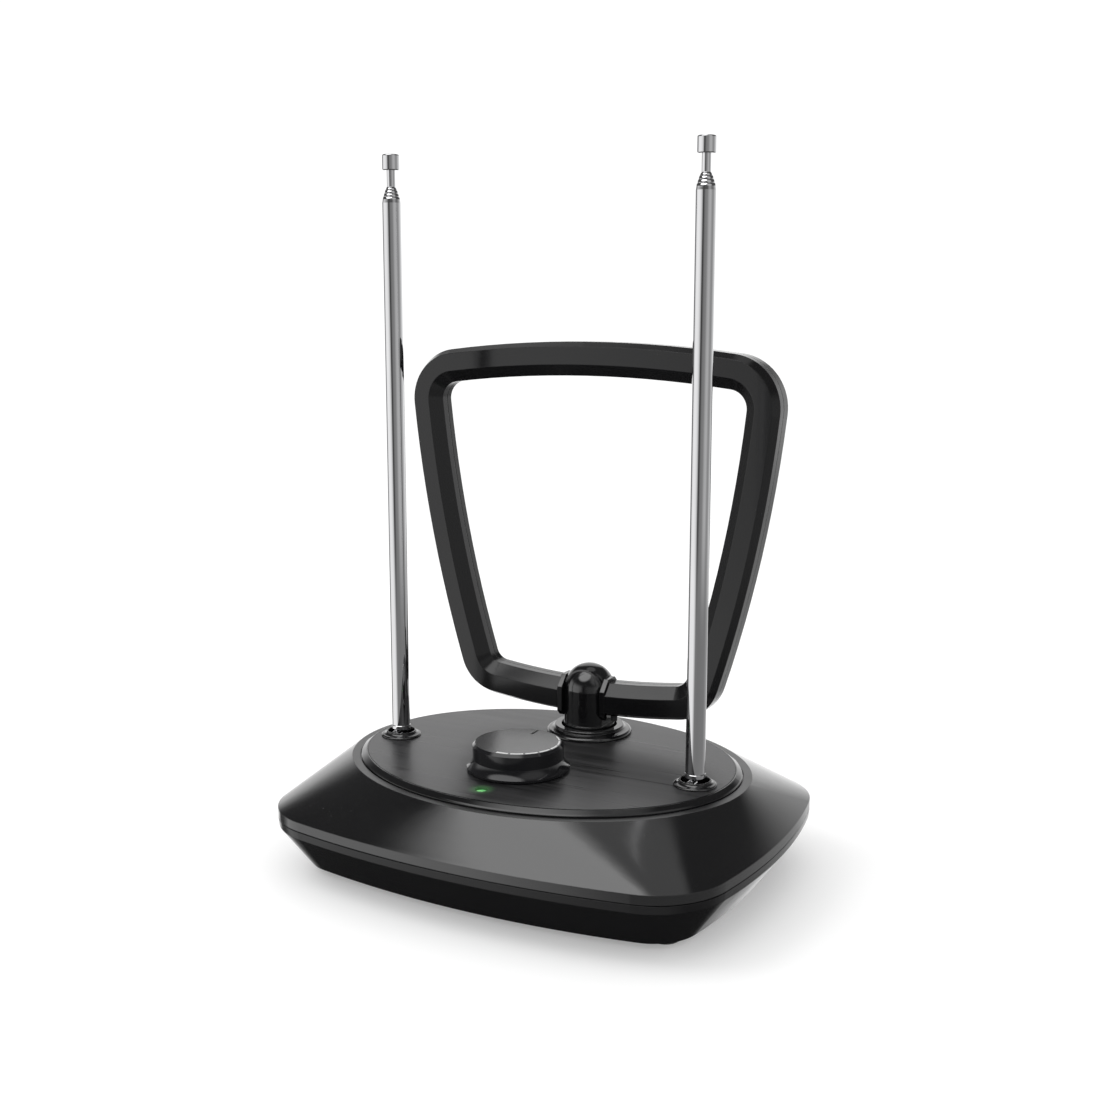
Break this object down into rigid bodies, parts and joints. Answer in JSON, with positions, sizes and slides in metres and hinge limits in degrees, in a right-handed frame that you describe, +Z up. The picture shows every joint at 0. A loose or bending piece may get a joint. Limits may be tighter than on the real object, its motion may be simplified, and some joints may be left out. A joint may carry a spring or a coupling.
{
  "type": "rabbit ears antenna",
  "caption": "Indoor television antenna with telescopic rods that swivel and tilt, a tilting loop on a post, and a gain knob on a weighted oval base.",
  "frame": {"origin": "middle of the base, on the surface that the feet stand on", "axes": "+Z up along the upright rods; -Y towards the front with the knob and the light; +X to the right seen from the front"},
  "size_m": [0.1868, 0.1456, 0.2637],
  "materials": {
    "gloss_black": "high gloss moulded black",
    "satin_black": "satin black",
    "brushed_plate": "brushed, dark anodised",
    "knob_grey": "satin top with gloss sides",
    "chrome": "bright plated",
    "feet_rubber": "moulded",
    "steel": "zinc plated",
    "brass": "stamped",
    "conductor": "rolled strip",
    "board_green": "solder mask",
    "ferrite": "sintered",
    "ballast_steel": "oiled plate",
    "green_light": "translucent, lit",
    "cable_jacket": "soft jacket"
  },
  "bodies": {
    "base": {"upper_shell": "gloss_black", "lower_shell": "gloss_black", "deck_bezel": "gloss_black", "deck_plate": "brushed_plate", "rubber_feet": "feet_rubber", "case_screws": "steel", "ballast_plate": "ballast_steel", "ballast_screws": "steel", "circuit_board": "board_green", "board_screws": "steel", "shield_can": "steel", "matching_core": "ferrite", "potentiometer_body": "steel", "potentiometer_nut": "steel", "power_led": "green_light", "light_pipe": "green_light", "coax_socket": "chrome", "coax_nut": "chrome", "dc_jack": "satin_black", "inner_leads": "cable_jacket", "collar_nuts": "brass", "rod_contacts": "brass", "loop_ring": "gloss_black", "ring_nut": "satin_black", "left_rod_collar": "gloss_black", "right_rod_collar": "gloss_black"},
    "knob": {"gain_knob": "knob_grey", "potentiometer_shaft": "steel"},
    "post": {"loop_post": "gloss_black", "post_washer": "steel", "post_nut": "brass"},
    "loop": {"loop_front_shell": "gloss_black", "loop_rear_shell": "gloss_black", "loop_conductor": "conductor", "hinge_blocks": "gloss_black", "hinge_pin": "steel", "hinge_screw": "satin_black", "loop_screws": "steel"},
    "left_turret": {"left_rod_turret": "chrome", "left_pivot_pin": "steel", "left_turret_washer": "steel", "left_turret_screw": "steel"},
    "left_rod": {"left_rod_foot": "chrome", "left_rod_section_1": "chrome"},
    "left_section_2": {"left_rod_section_2": "chrome"},
    "left_section_3": {"left_rod_section_3": "chrome"},
    "left_section_4": {"left_rod_section_4": "chrome"},
    "left_tip": {"left_rod_tip": "chrome", "left_rod_cap": "chrome"},
    "right_turret": {"right_rod_turret": "chrome", "right_pivot_pin": "steel", "right_turret_washer": "steel", "right_turret_screw": "steel"},
    "right_rod": {"right_rod_foot": "chrome", "right_rod_section_1": "chrome"},
    "right_section_2": {"right_rod_section_2": "chrome"},
    "right_section_3": {"right_rod_section_3": "chrome"},
    "right_section_4": {"right_rod_section_4": "chrome"},
    "right_tip": {"right_rod_tip": "chrome", "right_rod_cap": "chrome"}
  },
  "joints": [
    {"name": "knob_turn", "type": "hinge", "parent": "base", "child": "knob", "pos_m": [-0.0015, -0.0187, 0.0465], "axis": [0, 0, 1], "range_deg": [-150, 150]},
    {"name": "loop_swivel", "type": "hinge", "parent": "base", "child": "post", "pos_m": [0.0005, 0.03515, 0.044], "axis": [0, 0, 1], "range_deg": [-20, 20]},
    {"name": "loop_tilt", "type": "hinge", "parent": "post", "child": "loop", "pos_m": [0.0005, 0.03515, 0.0591], "axis": [-1, 0, 0], "range_deg": [-10, 90]},
    {"name": "left_rod_swivel", "type": "hinge", "parent": "base", "child": "left_turret", "pos_m": [-0.0626, -0.0048, 0.039], "axis": [0, 0, 1], "continuous": true},
    {"name": "left_rod_tilt", "type": "hinge", "parent": "left_turret", "child": "left_rod", "pos_m": [-0.0626, -0.0048, 0.04225], "axis": [0, 1, 0], "range_deg": [-35, 30]},
    {"name": "left_slide_1", "type": "slide", "parent": "left_rod", "child": "left_section_2", "axis": [0, 0, 1], "range_m": [0, 0.185]},
    {"name": "left_slide_2", "type": "slide", "parent": "left_section_2", "child": "left_section_3", "axis": [0, 0, 1], "range_m": [0, 0.185]},
    {"name": "left_slide_3", "type": "slide", "parent": "left_section_3", "child": "left_section_4", "axis": [0, 0, 1], "range_m": [0, 0.185]},
    {"name": "left_slide_4", "type": "slide", "parent": "left_section_4", "child": "left_tip", "axis": [0, 0, 1], "range_m": [0, 0.185]},
    {"name": "right_rod_swivel", "type": "hinge", "parent": "base", "child": "right_turret", "pos_m": [0.0626, -0.0048, 0.039], "axis": [0, 0, 1], "continuous": true},
    {"name": "right_rod_tilt", "type": "hinge", "parent": "right_turret", "child": "right_rod", "pos_m": [0.0626, -0.0048, 0.04225], "axis": [0, 1, 0], "range_deg": [-30, 35]},
    {"name": "right_slide_1", "type": "slide", "parent": "right_rod", "child": "right_section_2", "axis": [0, 0, 1], "range_m": [0, 0.185]},
    {"name": "right_slide_2", "type": "slide", "parent": "right_section_2", "child": "right_section_3", "axis": [0, 0, 1], "range_m": [0, 0.185]},
    {"name": "right_slide_3", "type": "slide", "parent": "right_section_3", "child": "right_section_4", "axis": [0, 0, 1], "range_m": [0, 0.185]},
    {"name": "right_slide_4", "type": "slide", "parent": "right_section_4", "child": "right_tip", "axis": [0, 0, 1], "range_m": [0, 0.185]}
  ]
}
